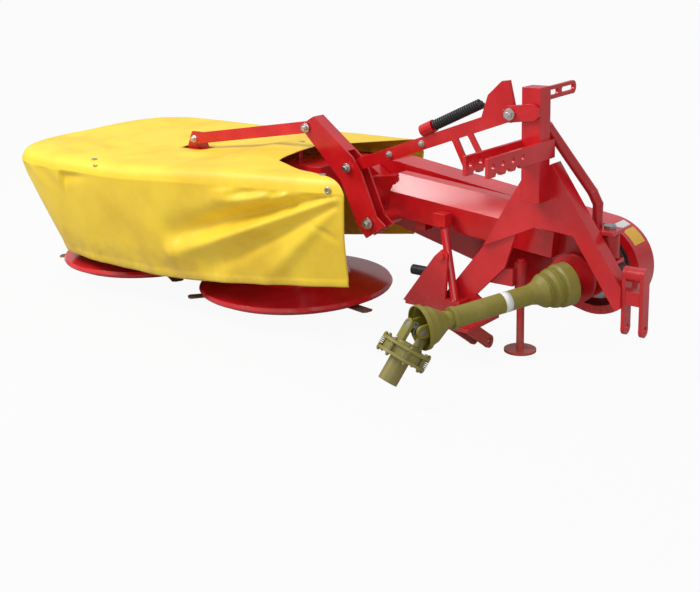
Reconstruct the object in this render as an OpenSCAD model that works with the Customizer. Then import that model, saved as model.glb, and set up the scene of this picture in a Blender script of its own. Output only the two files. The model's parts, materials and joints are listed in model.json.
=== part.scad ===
// Two-drum rear mower for a three-point hitch, parked on its skid dishes and its stand.
// Lengths in millimetres. +X points to the hitch end, +Y away from the tractor, +Z up.

/* [Drums] */
// Distance between the two drum shafts
drum_pitch = 850; // [840:5:900]
// Diameter of a cutting disc over its rim
disc_d = 770; // [720:5:790]
// Height of a cutting disc's rim
disc_rim_h = 36; // [30:1:44]
// Height of the cutting plane above the ground
cut_h = 64; // [56:1:70]
// Diameter of a drum above its disc
drum_d = 300; // [260:5:330]
// Diameter of a skid dish
dish_d = 524; // [460:2:600]
// Knives on each drum
knife_count = 3; // [2:1:4]
// Reach of a knife beyond its disc
knife_reach = 46; // [30:1:50]
// Width of a knife
knife_w = 48; // [40:1:55]

/* [Deck] */
// Underside of the gear beam above the ground
beam_z = 496; // [480:1:520]
// Height of the gear beam
beam_h = 88; // [70:1:92]
// Width of the gear beam
beam_w = 200; // [160:5:240]
// Half width of the cover
cover_half_w = 465; // [450:5:480]
// Top of the cover's rim at its inner end
cover_z = 640; // [630:1:660]
// Top of the cover's crown at its outer end
cover_low_z = 606; // [600:1:610]
// Rise of the cover's crown above its rim
cover_crown = 15; // [10:1:24]
// Hem of the cover above the ground at its outer end
hem_low = 150; // [140:5:200]
// Hem of the cover above the ground at its inner end
hem_high = 290; // [260:5:320]
// Inward taper of the skirt at its hem
cover_taper = 85; // [40:5:95]
// Inward taper of the skirt at its outer end
cover_nose_taper = 150; // [90:5:160]
// Thickness of the cover's solid
cover_t = 6; // [4:1:8]

/* [Boom] */
// Depth of the boom beam
boom_h = 150; // [130:2:156]
// Width of the boom beam
boom_w = 100; // [80:2:110]
// Radius of the belt guard at the drive pulley
guard_r_drive = 165; // [155:1:172]
// Radius of the belt guard at the driven pulley
guard_r_driven = 122; // [115:1:126]
// Depth of the belt guard
guard_w = 120; // [110:1:130]
// Sheet thickness of the belt guard
guard_t = 4; // [3:0.5:5]
// Radius of the drive pulley
pulley_r = 112; // [100:1:120]

/* [Hitch] */
// Side of the square mast
mast_side = 66; // [60:1:68]
// Top of the mast
mast_top = 935; // [930:1:960]
// Wall of the mast tube
mast_wall = 6; // [4:1:8]
// Thickness of the hitch plates
plate_t = 12; // [10:1:14]
// Clear gap between the plates of a lower hitch clevis
clevis_gap = 48; // [46:1:52]
// Diameter of a lower hitch bore
lower_bore_d = 22.4; // [22.2:0.1:23]
// Diameter of a top link bore
top_bore_d = 19.4; // [19.2:0.1:20]
// Diameter of the stand leg
stand_d = 27; // [24:1:28]
// Diameter of the stand foot
foot_d = 112; // [100:2:130]

/* [Drive shaft] */
// Distance between the two joints of the drive shaft
shaft_len = 525; // [500:5:560]
// Diameter of the outer guard tube
tube_d = 66; // [62:1:70]
// Radius of a guard bell at its rim
bell_r = 72; // [68:1:74]
// Diameter of the splined bore
spline_d = 35; // [34:0.5:36]

/* [Fits] */
// Radial clearance of a pin or shaft in its bore
fit = 0.05; // [0.02:0.01:0.1]
// Gap between faces that run past each other
run_gap = 0.4; // [0.3:0.1:0.6]
// Number of sides on round surfaces
$fn = 64; // [32:8:96]

/* [Hidden] */

red = [0.72, 0.04, 0.05];
dark_red = [0.42, 0.03, 0.04];
yellow = [0.95, 0.8, 0.12];
olive = [0.5, 0.47, 0.12];
steel = [0.55, 0.55, 0.56];
black = [0.05, 0.05, 0.05];

// Plan of the deck, measured from the stand foot
deck_y = -30;
inner_x = -1005;
outer_x = inner_x - drum_pitch;
beam_y0 = deck_y - beam_w / 2;
beam_top = beam_z + beam_h;
disc_r = disc_d / 2;
drum_r = drum_d / 2;
dish_r = dish_d / 2;
neck_r = 62;
gearbox_x0 = inner_x - 105;
gearbox_x1 = inner_x + 250;
gearbox_y0 = deck_y - 120;
gearbox_y1 = 160;
gearbox_h = beam_h + 12;

// Axes of the lift linkage in the XZ plane
input_p = [190, 290];
deck_p = [-660, 460];
lever_p = [-552, 410];
upper_p = [-643, 604];
mast_p = [35, mast_top - 87];
link_p = [-832, 736];
bracket_p = [-1459, 638];
link_y = -104;
link_t = 12;
link_w = 46;

// Boom line, from its root end to its deck end
boom_y = 22;
boom_root = [110, 419];
boom_tip = [-570, 484];
boom_slope = atan2(boom_tip[1] - boom_root[1], boom_root[0] - boom_tip[0]);
boom_len = norm(boom_tip - boom_root);
boom_shoulder = 60;
deck_tube_r = 55;
deck_ring_r = 80;
deck_ring_y = [boom_y + 18, boom_y + boom_w - 22];
carrier_tube_r = 60;
root_ring_r = 85;
root_ring_y = [70, 120];
guard_y = 165;

// Kingpin of the break-back swing
king_p = [300, 50];
king_r = 16;
king_boss_r = 32;
king_z = [374, 450];
lug_t = 12;
lug_gap = 6;

// Hitch frame
frame_y = -60;
mast_x = 70;
mast_foot = 565;
leg_top = [118, 668];
leg_foot = [400, 246];
leg_w = 60;
clevis_x = 430;
clevis_y = -28;
clevis_plate_w = 50;
clevis_foot_z = 175;
clevis_top_z = 352;
left_clevis_x = -106;
left_bore = [-85, 45];
left_root = [-205, 128];
foot_plate_z = 118;
top_hole_y = [-425, -367, -309, -251];
bracket_z = 705;
bracket_h = 60;

// Drive shaft, hung from its rear joint
rear_joint = [input_p[0], -90, input_p[1]];
shaft_yaw = -26;
shaft_droop = 6;
clutch_droop = 49;
tube_r = tube_d / 2;
inner_r = 27;
clutch_disc_r = 82;
clutch_hub_r = 32;
clutch_len = 185;
cross_r = 11;
ear_t = 12;
ear_gap = 29;

// Plan extents, which centre the part on its origin
x_low = outer_x - cover_half_w;
x_high = clevis_x + clevis_gap / 2 + plate_t;
y_high = deck_y + cover_half_w;
clutch_tilt = shaft_droop + clutch_droop;
front_joint_y = rear_joint[1] - shaft_len * cos(shaft_yaw) * cos(shaft_droop);
clutch_y = [-cos(shaft_yaw) * cos(clutch_tilt), -cos(shaft_yaw) * sin(clutch_tilt), sin(shaft_yaw)];
disc_front = front_joint_y + 105 * clutch_y[0] - clutch_disc_r * norm([clutch_y[1], clutch_y[2]]);
hub_front = front_joint_y + clutch_len * clutch_y[0] - clutch_hub_r * norm([clutch_y[1], clutch_y[2]]);
y_low = min(disc_front, hub_front);
origin_x = (x_low + x_high) / 2;
origin_y = (y_low + y_high) / 2;

module place() {
    translate([-origin_x, -origin_y, 0]) children();
}

// Plate in the XZ plane from y, t thick
module plate_xz(y, t) {
    translate([0, y + t, 0]) rotate([90, 0, 0]) linear_extrude(t) children();
}

// Plate in the YZ plane from x, t thick
module plate_yz(x, t) {
    translate([x, 0, 0]) rotate([90, 0, 90]) linear_extrude(t) children();
}

// Flat outline between two points with round ends, which stand a little proud of its sides
module stadium(p, q, w) {
    side_w = w - 2;
    translate(p) circle(d = w);
    translate(q) circle(d = w);
    translate(p) rotate(atan2(q[1] - p[1], q[0] - p[0]))
        translate([0, -side_w / 2]) square([norm(q - p), side_w]);
}

// Round bar along Y at an XZ point
module pin_y(p, y0, y1, r) {
    translate([p[0], y0, p[1]]) rotate([-90, 0, 0]) cylinder(h = y1 - y0, r = r);
}

// Round bar along X
module pin_x(x0, x1, y, z, r) {
    translate([x0, y, z]) rotate([0, 90, 0]) cylinder(h = x1 - x0, r = r);
}

// Round bar between two points
module rod(p, q, r) {
    d = q - p;
    translate(p) rotate([0, acos(d[2] / norm(d)), atan2(d[1], d[0])]) cylinder(h = norm(d), r = r);
}

// Bent tube through a list of points
module bent_tube(points, r) {
    for (i = [0 : len(points) - 2]) rod(points[i], points[i + 1], r);
    for (i = [1 : len(points) - 2]) translate(points[i]) sphere(r = r + 0.6);
}

// Belt outline round two circles, grown by g
module belt_outline(g) {
    d = deck_p - input_p;
    r1 = guard_r_drive + g;
    r2 = guard_r_driven + g;
    a = atan2(d[1], d[0]);
    b = acos((r1 - r2) / norm(d));
    steps = 32;
    polygon([
        for (i = [0 : steps]) let (t = a + b + i * (360 - 2 * b) / steps) input_p + r1 * [cos(t), sin(t)],
        for (i = [0 : steps]) let (t = a - b + i * 2 * b / steps) deck_p + r2 * [cos(t), sin(t)]
    ]);
}

// Frame along the boom, local -X running out to the deck
module on_boom() {
    translate([boom_root[0], 0, boom_root[1]]) rotate([0, boom_slope, 0]) children();
}

// Frame along the drive shaft, local -Z running out to the tractor
module on_shaft() {
    translate(rear_joint) rotate([0, 0, shaft_yaw]) rotate([shaft_droop, 0, 0])
        rotate([-90, 0, 0]) children();
}

// Frame along the clutch, local -Z running out to the tractor
module on_clutch() {
    on_shaft() translate([0, 0, -shaft_len]) rotate([clutch_droop, 0, 0]) children();
}

module mast() {
    color(red) place() difference() {
        translate([mast_x, frame_y - mast_side, mast_foot])
            cube([mast_side, mast_side, mast_top - mast_foot]);
        translate([mast_x + mast_wall, frame_y - mast_side + mast_wall, mast_foot - 1])
            cube([mast_side - 2 * mast_wall, mast_side - 2 * mast_wall, mast_top - mast_foot - mast_wall]);
    }
}

module mast_cheek() {
    cheek_y = frame_y - mast_side - plate_t;
    color(red) place() {
        difference() {
            plate_xz(cheek_y, plate_t) {
                stadium(mast_p, [mast_x + 40, mast_p[1] + 10], 56);
            }
            pin_y(mast_p, cheek_y - 1, cheek_y + plate_t + 1, 14 + fit);
        }
        pin_y(mast_p, cheek_y, cheek_y + plate_t, 14);
        pin_y(mast_p, cheek_y - 5, cheek_y, 20);
    }
}

// Left edge of the right leg at height z
function leg_edge(z) = leg_top[0]
    + (leg_top[1] - z) * (leg_foot[0] - leg_top[0]) / (leg_top[1] - leg_foot[1])
    - leg_w / 2 * norm(leg_foot - leg_top) / (leg_top[1] - leg_foot[1]);

module gusset_plate() {
    color(red) place() plate_xz(frame_y, 10) polygon([
        [44, 640], [leg_edge(640), 640], [leg_edge(455), 455], [90, 468], [-116, 373]
    ]);
}

module left_leg() {
    color(red) place() plate_xz(frame_y + 10, plate_t) polygon([
        [-118, 372], [10, 437], [-33, 308], [-148, 190], [-60, 130], [-290, 130], [-286, 162]
    ]);
}

module right_leg() {
    a = atan2(leg_foot[1] - leg_top[1], leg_foot[0] - leg_top[0]);
    color(red) place() difference() {
        plate_xz(frame_y, leg_w) translate(leg_top) rotate(a) translate([0, -leg_w / 2])
            square([norm(leg_foot - leg_top), leg_w]);
        translate([clevis_x - clevis_gap / 2 - plate_t, frame_y - 1, 0]) cube([200, leg_w + 2, 500]);
    }
}

module left_hitch_clevis() {
    color(red) place() {
        translate([-210, -235, foot_plate_z]) cube([146, 200, plate_t]);
        difference() {
            for (side = [-1, 1])
                plate_yz(left_clevis_x + side * (clevis_gap + plate_t) / 2 - plate_t / 2, plate_t)
                    intersection() {
                        stadium(left_root, left_bore, 47);
                        translate([-300, 0]) square([300, foot_plate_z]);
                    }
            pin_x(left_clevis_x - 100, left_clevis_x + 100, left_bore[0], left_bore[1], lower_bore_d / 2);
        }
    }
}

module right_hitch_clevis() {
    color(red) place() {
        difference() {
            for (side = [-1, 1])
                plate_yz(clevis_x + side * (clevis_gap + plate_t) / 2 - plate_t / 2, plate_t)
                    stadium([clevis_y, clevis_foot_z], [clevis_y, clevis_top_z], clevis_plate_w);
            pin_x(clevis_x - 100, clevis_x + 100, clevis_y, clevis_foot_z, lower_bore_d / 2);
        }
        translate([clevis_x - clevis_gap / 2, clevis_y - 22, 255]) cube([clevis_gap, 44, 45]);
        pin_x(clevis_x - clevis_gap / 2, clevis_x + clevis_gap / 2, clevis_y, clevis_top_z, 24);
    }
}

module top_link_bracket() {
    arm_y0 = top_hole_y[0] - 26;
    color(red) place() difference() {
        union() {
            for (x = [mast_x - plate_t, mast_x + mast_side])
                translate([x, arm_y0, bracket_z]) cube([plate_t, frame_y - arm_y0, bracket_h]);
            translate([mast_x - plate_t, frame_y, bracket_z])
                cube([mast_side + 2 * plate_t, plate_t, bracket_h]);
        }
        for (y = top_hole_y)
            pin_x(mast_x - 50, mast_x + mast_side + 50, y, bracket_z + 32, top_bore_d / 2);
        for (i = [0 : len(top_hole_y) - 2])
            pin_x(
                mast_x - 50, mast_x + mast_side + 50, (top_hole_y[i] + top_hole_y[i + 1]) / 2,
                bracket_z - 4, 16
            );
    }
}

module slotted_plate() {
    slot_z = mast_top - 28;
    color(red) place() plate_yz(mast_x + 28, plate_t) difference() {
        stadium([frame_y + 22, slot_z - 2], [140, slot_z + 1], 44);
        translate([frame_y - 40, slot_z - 57]) square([40, 100]);
        stadium([-10, slot_z - 1], [30, slot_z - 1], 20);
        stadium([72, slot_z], [138, slot_z + 1], 20);
    }
}

module rear_brace() {
    color(dark_red) place() bent_tube([
        [mast_x + 40, frame_y + 5.8, mast_top - 129], [mast_x + 44, frame_y + 26, mast_top - 135],
        [240, 40, 585], [255, 50, 545], [255, 50, king_z[1] + lug_gap + lug_t]
    ], 17);
}

module kingpin_lugs() {
    lug_z = [king_z[0] - lug_gap - lug_t, king_z[1] + lug_gap];
    lug_x0 = [king_p[0] - 36, 234];
    color(red) place() for (i = [0, 1]) difference() {
        translate([lug_x0[i], 0, lug_z[i]]) cube([king_p[0] + 36 - lug_x0[i], king_p[1] + 34, lug_t]);
        translate([king_p[0], king_p[1], lug_z[i] - 1]) cylinder(h = lug_t + 2, r = king_r + fit);
    }
}

module kingpin() {
    pin_z0 = king_z[0] - lug_gap - lug_t - 12;
    pin_z1 = king_z[1] + lug_gap + lug_t;
    color(steel) place() translate([king_p[0], king_p[1], pin_z0]) {
        cylinder(h = pin_z1 - pin_z0, r = king_r);
        translate([0, 0, pin_z1 - pin_z0]) cylinder(h = 12, r = 22, $fn = 6);
    }
}

module stay_tube() {
    foot_p = [-206, -92, 152];
    head_p = [-312, -8, 425];
    color(red) place() {
        rod(foot_p, head_p, 15, $fn = 12);
        translate([-240, frame_y - 54, 134]) cube([64, 64, 38]);
        translate(head_p - [26, 28, 16]) cube([52, 46, 46]);
    }
}

module latch_bracket() {
    color(red) place() {
        plate_xz(-96, plate_t) polygon([[-430, 134], [-250, 134], [-236, 330], [-262, 346], [-292, 318]]);
        plate_xz(frame_y - 2, plate_t) polygon([[-380, 134], [-262, 134], [-285, 262], [-312, 262]]);
        translate([-420, -96, 122]) cube([208, 46, plate_t]);
        pin_y([-262, 322], -104, -96, 14);
    }
}

module latch_grip() {
    color(black) place() rod([-405, -66, 246], [-330, -66, 246], 18);
}

module stand_sleeve() {
    color(dark_red) place() difference() {
        union() {
            translate([0, 0, 215]) cylinder(h = 105, r = 21);
            translate([-110, frame_y + 10 + plate_t, 240]) cube([100, 24, 60]);
        }
        translate([0, 0, 200]) cylinder(h = 140, r = stand_d / 2 + fit);
    }
}

module stand_leg() {
    color(red) place() {
        translate([0, 0, 8]) cylinder(h = 322, d = stand_d);
        cylinder(h = 8, d = foot_d);
    }
}

module carrier() {
    web = [
        [150, 300], [128, 352], [276, king_z[1] - 4], [276, king_z[0] + 6], [238, king_z[0]], [222, 340],
        [240, 300]
    ];
    color(dark_red) place() difference() {
        union() {
            pin_y(input_p, 0, guard_y - 5, carrier_tube_r);
            pin_y(input_p, 0, 14, 85);
            plate_xz(king_p[1] - 20, 18) polygon(web);
            translate([king_p[0], king_p[1], king_z[0]])
                cylinder(h = king_z[1] - king_z[0], r = king_boss_r);
        }
        pin_y(input_p, 8, guard_y, 25 + fit);
        translate([king_p[0], king_p[1], 0]) cylinder(h = 600, r = king_r + fit);
    }
}

// Fork of a joint: two ears on the local X axis, carried by a flange at root_z
module fork(root_z) {
    difference() {
        for (side = [-1, 1]) {
            ear_x = side > 0 ? ear_gap : -ear_gap - ear_t;
            translate([ear_x, -20, min(root_z, 0)]) cube([ear_t, 40, abs(root_z)]);
            translate([ear_x, 0, 0]) rotate([0, 90, 0]) cylinder(h = ear_t, r = 20);
        }
        rotate([0, 90, 0]) translate([0, 0, -100]) cylinder(h = 200, r = cross_r + fit);
    }
    translate([0, 0, root_z > 0 ? root_z : root_z - 12]) cylinder(h = 12, r = 41);
}

// Cross of a joint: two trunnions at right angles
module cross() {
    reach = ear_gap + ear_t - 1;
    block = 34;
    for (a = [0, 90]) rotate([0, 0, a]) rotate([0, 90, 0])
        translate([0, 0, -reach]) cylinder(h = 2 * reach, r = cross_r, $fn = 12);
    translate([0, 0, -block / 2]) linear_extrude(block) square(block + 4, center = true);
}

module rear_yoke() {
    color(steel) place() translate(rear_joint) rotate([-90, 0, 0]) {
        rotate([0, 0, 90]) fork(46);
        translate([0, 0, 58]) cylinder(h = -rear_joint[1] - 58, r = 27);
    }
}

module rear_cross() {
    color(steel) place() translate(rear_joint) rotate([0, 0, shaft_yaw]) rotate([-90, 0, 0]) cross();
}

module drive_pulley() {
    pulley_w = 84;
    grooves = 3;
    groove_pitch = 24;
    color(steel) place() translate([input_p[0], 8 + run_gap, input_p[1]]) rotate([-90, 0, 0]) {
        cylinder(h = guard_y + guard_w - 25, r = 25);
        translate([0, 0, guard_y + 8]) difference() {
            cylinder(h = pulley_w, r = pulley_r);
            for (i = [0 : grooves - 1]) translate([0, 0, 18 + i * groove_pitch]) rotate_extrude()
                polygon([[pulley_r + 1, -9], [pulley_r + 1, 9], [pulley_r - 16, 5], [pulley_r - 16, -5]]);
            translate([0, 0, -1]) cylinder(h = 19, r = pulley_r - 26);
        }
        translate([0, 0, guard_y + 8]) cylinder(h = 20, r = 42);
    }
}

module boom_beam() {
    half = boom_h / 2;
    color(red) place() difference() {
        union() {
            on_boom() rotate([90, 0, -90]) linear_extrude(boom_len) polygon([
                [-boom_y, -half], [-boom_y - boom_w, -half], [-boom_y - boom_w, half],
                [-boom_y - boom_w / 2, half], [-boom_y, half - boom_shoulder]
            ]);
            plate_xz(root_ring_y[0], root_ring_y[1] - root_ring_y[0]) {
                polygon([[60, 362], [60, 490], [112, 488], [256, 344], [246, 226], [136, 226]]);
                translate(input_p) circle(r = root_ring_r);
            }
            plate_xz(deck_ring_y[0], deck_ring_y[1] - deck_ring_y[0]) {
                translate(deck_p) circle(r = deck_ring_r);
                polygon([deck_p + [0, -76], boom_tip + [10, -72], boom_tip + [10, 70], deck_p + [0, 79]]);
            }
            pin_y(lever_p, link_y + 40, boom_y + 20, 28);
            pin_y(lever_p, link_y - 34, link_y + 41, 15);
            for (x = [-140, -430]) translate([x, boom_y + boom_w - 5, 418])
                cube([60, guard_y - boom_y - boom_w + 5, 36]);
            translate([-470, boom_y + 20, 362]) cube([44, 50, 50]);
        }
        pin_y(input_p, 0, 200, carrier_tube_r + fit);
        pin_y(deck_p, 0, 200, deck_tube_r + fit);
    }
}

module belt_guard() {
    color(red) place() difference() {
        plate_xz(guard_y, guard_w) belt_outline(0);
        plate_xz(guard_y + guard_t, guard_w - 2 * guard_t) belt_outline(-guard_t);
        pin_y(input_p, guard_y - 1, guard_y + guard_t + 1, guard_r_drive - 30);
    }
}

lever_outline = [
    [-838, 712], [-826, 764], [-796, 780], [-620, 645], [-585, 597], [-515, 435],
    [-478, 408], [-565, 352], [-606, 400], [-676, 553]
];

module lift_lever() {
    gap = 20;
    color(red) place() difference() {
        union() {
            for (y = [link_y - gap - 8, link_y + gap]) plate_xz(y, 8) polygon(lever_outline);
            plate_xz(link_y - gap, 2 * gap) polygon([[-796, 780], [-646, 665], [-651, 658], [-801, 773]]);
            pin_y(upper_p, link_y - gap - 12, link_y + gap + 12, 11);
            pin_y(link_p, link_y - gap - 12, link_y + gap + 12, 11);
        }
        pin_y(lever_p, link_y - 60, link_y + 60, 15 + fit);
    }
}

// Flat link bar with an eye at each end
module link_bar(p, q, pin_r, open_r) {
    plate_xz(link_y - link_t / 2, link_t) difference() {
        stadium(p, q, link_w);
        translate(p) circle(r = pin_r + fit);
        translate(q) circle(r = open_r);
    }
}

module upper_link() {
    color(red) place() {
        link_bar(upper_p, mast_p, 11, 14);
        plate_xz(link_y - link_t / 2, link_t) {
            polygon([[-92, 822], [-30, 846], [10, 868], [33, 872], [14, 952], [-14, 948], [-66, 900]]);
            stadium([-196, 742], [-150, 652], 24);
            stadium([-150, 652], [-118, 668], 24);
            stadium([-136, 764], [-98, 700], 20);
        }
        rod([-329.13, link_y, 760.04], [-282, link_y, 782], 22);
    }
}

module link_spring() {
    color(black) place() rod([-282, link_y, 782], [-90.75, link_y, 871.13], 19);
}

module deck_link() {
    color(red) place() link_bar(link_p, bracket_p, 11, 11);
}

// Bearing ring for a drum neck under the beam
module neck_ring(x) {
    translate([x, deck_y, beam_z - 36]) difference() {
        cylinder(h = 36, r = neck_r + 34);
        translate([0, 0, -1]) cylinder(h = 36, r = neck_r + fit);
    }
}

module gear_beam() {
    color(red) place() {
        translate([outer_x, beam_y0, beam_z]) cube([gearbox_x0 - outer_x, beam_w, beam_h]);
        translate([outer_x, deck_y, beam_z]) cylinder(h = beam_h, d = beam_w);
        neck_ring(outer_x);
    }
}

module deck_gearbox() {
    color(red) place() {
        difference() {
            union() {
                translate([gearbox_x0, gearbox_y0, beam_z])
                    cube([gearbox_x1 - gearbox_x0, gearbox_y1 - gearbox_y0, gearbox_h]);
                plate_xz(105, gearbox_y1 - 105) polygon([
                    [gearbox_x1 - 1, beam_z], [gearbox_x1 - 1, beam_z + 90], [-640, 513], [-606, 462],
                    [-640, 409], [-700, 425]
                ]);
                pin_y(deck_p, 10, gearbox_y1, deck_tube_r);
            }
            pin_y(deck_p, 0, 30, 32);
        }
        neck_ring(inner_x);
    }
}

module link_bracket() {
    plate_y = link_y + link_t / 2 + 5;
    color(red) place() {
        plate_xz(plate_y, plate_t) difference() {
            polygon([[-1524, beam_top], [-1394, beam_top], [-1430, 664], [-1488, 664]]);
            translate(bracket_p) circle(r = 11 + fit);
        }
        pin_y(bracket_p, plate_y, plate_y + plate_t, 11);
        pin_y(bracket_p, plate_y + plate_t, plate_y + plate_t + 8, 17);
    }
}

// Plan outline of the cover: straight sides and a squarish outer end
module cover_plan(half, nose, power) {
    polygon([
        [-365, deck_y - half], [-700, deck_y + half], for (a = [90 : 6 : 270])
            [
                outer_x - nose * pow(abs(cos(a)), power),
                deck_y + half * sign(sin(a)) * pow(abs(sin(a)), power)
            ]
    ]);
}

// Thin slice of the cover's plan between two X values, drawn in by g and tilted about the deck's line
module cover_slice(z, g, x0, x1, tilt) {
    translate([0, deck_y, z]) rotate([tilt, 0, 0]) translate([0, -deck_y, 0])
        linear_extrude(1) intersection() {
        cover_plan(cover_half_w - g, cover_half_w - g, 0.65);
        translate([x0, -1000]) square([x1 - x0, 2000]);
    }
}

// Slice at the hem of the cover, drawn in by g
module hem_slice(g, taper, x0, x1) {
    translate([0, 0, hem_low - 20]) linear_extrude(1) intersection() {
        cover_plan(cover_half_w - g - taper, cover_half_w - g - cover_nose_taper, 0.9);
        translate([x0, -1000]) square([x1 - x0, 2000]);
    }
}

// Filled form of the cover, drawn in by g: a high inner end and a low outer end
module cover_form(g) {
    split_x = -1420;
    lap = 10;
    high_x = -1040;
    high_tilt = -2;
    low_tilt = 3.4;
    hull() {
        cover_slice(cover_z + cover_crown - g - 1, g + 110, high_x, 0, high_tilt);
        cover_slice(cover_z - g - 1, g + 12, high_x, 0, high_tilt);
        cover_slice(cover_z - 60, g, high_x, 0, high_tilt);
        hem_slice(g, cover_taper / 2, high_x, 0);
        cover_slice(cover_low_z - g - 1, g + 90, split_x - lap, split_x, low_tilt);
        cover_slice(cover_low_z - g - 15, g + 14, split_x - lap, split_x, low_tilt);
        cover_slice(cover_low_z - 44, g, split_x - lap, split_x, low_tilt);
        hem_slice(g, cover_taper, split_x - lap, split_x);
    }
    hull() {
        cover_slice(cover_low_z - g - 1, g + 90, -3000, split_x, low_tilt);
        cover_slice(cover_low_z - g - 15, g + 14, -3000, split_x, low_tilt);
        cover_slice(cover_low_z - 44, g, -3000, split_x, low_tilt);
        hem_slice(g, cover_taper, -3000, split_x);
    }
}

module cover() {
    x_end = -365;
    color(yellow) place() difference() {
        cover_form(0);
        cover_form(cover_t);
        plate_xz(-900, 1800) polygon([
            [-2500, 0], [x_end + 10, 0], [x_end + 10, hem_high], [inner_x - 60, hem_low + 18],
            [outer_x, hem_low], [-2500, hem_low]
        ]);
        translate([0, 0, 300]) linear_extrude(500) polygon([
            [-300, -430], [-420, -445], [-850, -300], [-860, -40], [-800, 110], [-690, 330], [-300, 380]
        ]);
        translate([0, 0, 100]) linear_extrude(700)
            polygon([[-300, -430], [-480, -430], [-640, 420], [-690, 600], [-300, 600]]);
        translate([-1545, link_y - 40, 500]) cube([172, 90, 300]);
    }
}

module cover_frame() {
    rail_r = 11;
    inset = 48;
    half = cover_half_w - inset;
    rail_z = beam_top - 44;
    color(red) place() {
        translate([outer_x, deck_y, rail_z]) rotate([0, 0, 90]) rotate_extrude(angle = 180)
            translate([half, 0]) circle(r = rail_r);
        rod([outer_x, deck_y - half, rail_z], [-440, deck_y - half, rail_z], rail_r);
        rod([outer_x, deck_y + half, rail_z], [-740, deck_y + half, rail_z], rail_r);
        for (x = [outer_x + 60, outer_x + 480]) for (side = [-1, 1])
            translate([x, deck_y + (side > 0 ? beam_w / 2 : -half), rail_z - 6])
                cube([36, half - beam_w / 2, 12]);
    }
}

module cover_posts() {
    // X, foot height and head height of the posts under the sheet
    posts = [
        [-960, beam_z + gearbox_h, cover_z + cover_crown - cover_t - 0.8],
        [-1700, beam_top, cover_low_z - cover_t - 1.2]
    ];
    color(red) place() for (p = posts) translate([p[0], deck_y, p[1]]) cylinder(h = p[2] - p[1], r = 14);
}

module drum(x) {
    rim_z = cut_h + disc_rim_h;
    shell = 12;
    hub_r = 60;
    roof_z = beam_z - 66 - shell;
    translate([x, deck_y, 0]) rotate_extrude() polygon([
        [0, cut_h + 10], [hub_r, cut_h + 10], [hub_r, roof_z], [drum_r - shell, roof_z],
        [drum_r - shell, rim_z + 92],
        [drum_r + 8, rim_z + 48], [drum_r + 56, rim_z + 14], [disc_r - 76, cut_h + 26],
        [disc_r - 68, cut_h],
        [disc_r - 38, cut_h], [disc_r - 4, cut_h + 16], [disc_r, cut_h + 24], [disc_r - 7, rim_z],
        [drum_r + 66, rim_z + 26], [drum_r + 20, rim_z + 58], [drum_r, rim_z + 100], [drum_r, beam_z - 66],
        [drum_r - 15, beam_z - 50], [neck_r, beam_z - 44], [neck_r, beam_z - 2], [0, beam_z - 2]
    ]);
}

module drum_inner() {
    color(red) place() drum(inner_x);
}

module drum_outer() {
    color(red) place() drum(outer_x);
}

module knives(x, start) {
    inner_end = disc_r - 58;
    tip = disc_r + knife_reach;
    side = knife_w / 2;
    for (i = [0 : knife_count - 1]) translate([x, deck_y, cut_h - 4])
        rotate([0, 0, start + i * 360 / knife_count]) linear_extrude(4) polygon([
            [inner_end, -side], [tip - 8, -side], [tip, 12 - side], [tip, side - 12], [tip - 8, side],
            [inner_end, side]
        ]);
}

module knives_inner() {
    color(steel) place() knives(inner_x, 230);
}

module knives_outer() {
    color(steel) place() knives(outer_x, 212);
}

module skid(x) {
    hub_top = cut_h + 10 - run_gap;
    translate([x, deck_y, 0]) rotate_extrude() polygon([
        [0, 0], [105, 0], [dish_r - 82, 15], [dish_r - 22, 36], [dish_r, 46], [dish_r, 52],
        [dish_r - 12, 54], [70, 54], [52, hub_top], [0, hub_top]
    ]);
}

module skid_inner() {
    color(dark_red) place() skid(inner_x);
}

module skid_outer() {
    color(dark_red) place() skid(outer_x);
}

// Guard bell: a shell of revolution through (radius, z) pairs
module bell(steps) {
    wall = 4;
    n = len(steps);
    rotate_extrude() polygon([
        for (p = steps) p, for (i = [n - 1 : -1 : 0]) [steps[i][0] - wall, steps[i][1]]
    ]);
}

module shaft_tube_outer() {
    color(olive) place() on_shaft() {
        bell([
            [bell_r, 38], [bell_r, 0], [bell_r - 8, -8], [bell_r - 8, -34], [bell_r - 18, -42],
            [bell_r - 18, -66], [tube_r + 6, -88], [tube_r, -112]
        ]);
        difference() {
            union() {
                translate([0, 0, -405]) cylinder(h = 293, r = tube_r);
                translate([0, 0, -405]) cylinder(h = 14, r = tube_r + 4);
            }
            translate([0, 0, -420]) cylinder(h = 262, r = inner_r + run_gap);
        }
        fork(-46);
        translate([0, 0, -114]) cylinder(h = 58, r = 24);
    }
}

module shaft_tube_inner() {
    front = -shaft_len;
    color(olive) place() on_shaft() {
        translate([0, 0, front + 75]) cylinder(h = 250, r = inner_r);
        bell([
            [bell_r, front + 8], [bell_r, front + 22], [bell_r - 6, front + 26], [bell_r - 14, front + 52],
            [bell_r - 30, front + 78], [inner_r + 4, front + 96]
        ]);
        translate([0, 0, front + 78]) difference() {
            cylinder(h = 18, r = inner_r + 4);
            translate([0, 0, -1]) cylinder(h = 20, r = inner_r - 1);
        }
        translate([0, 0, front]) fork(52);
        translate([0, 0, front + 62]) cylinder(h = 20, r = 24);
    }
}

module front_cross() {
    color(steel) place() on_clutch() cross();
}

module shaft_clutch() {
    color(olive) place() on_clutch() difference() {
        union() {
            rotate([0, 0, 90]) fork(-50);
            translate([0, 0, -70]) cylinder(h = 10, r = clutch_disc_r);
            translate([0, 0, -95]) cylinder(h = 25, r = clutch_disc_r - 12);
            translate([0, 0, -105]) cylinder(h = 10, r = clutch_disc_r);
            translate([0, 0, -clutch_len]) cylinder(h = clutch_len - 105, r = clutch_hub_r);
        }
        translate([0, 0, -clutch_len - 1]) cylinder(h = 91, d = spline_d);
    }
}

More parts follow.
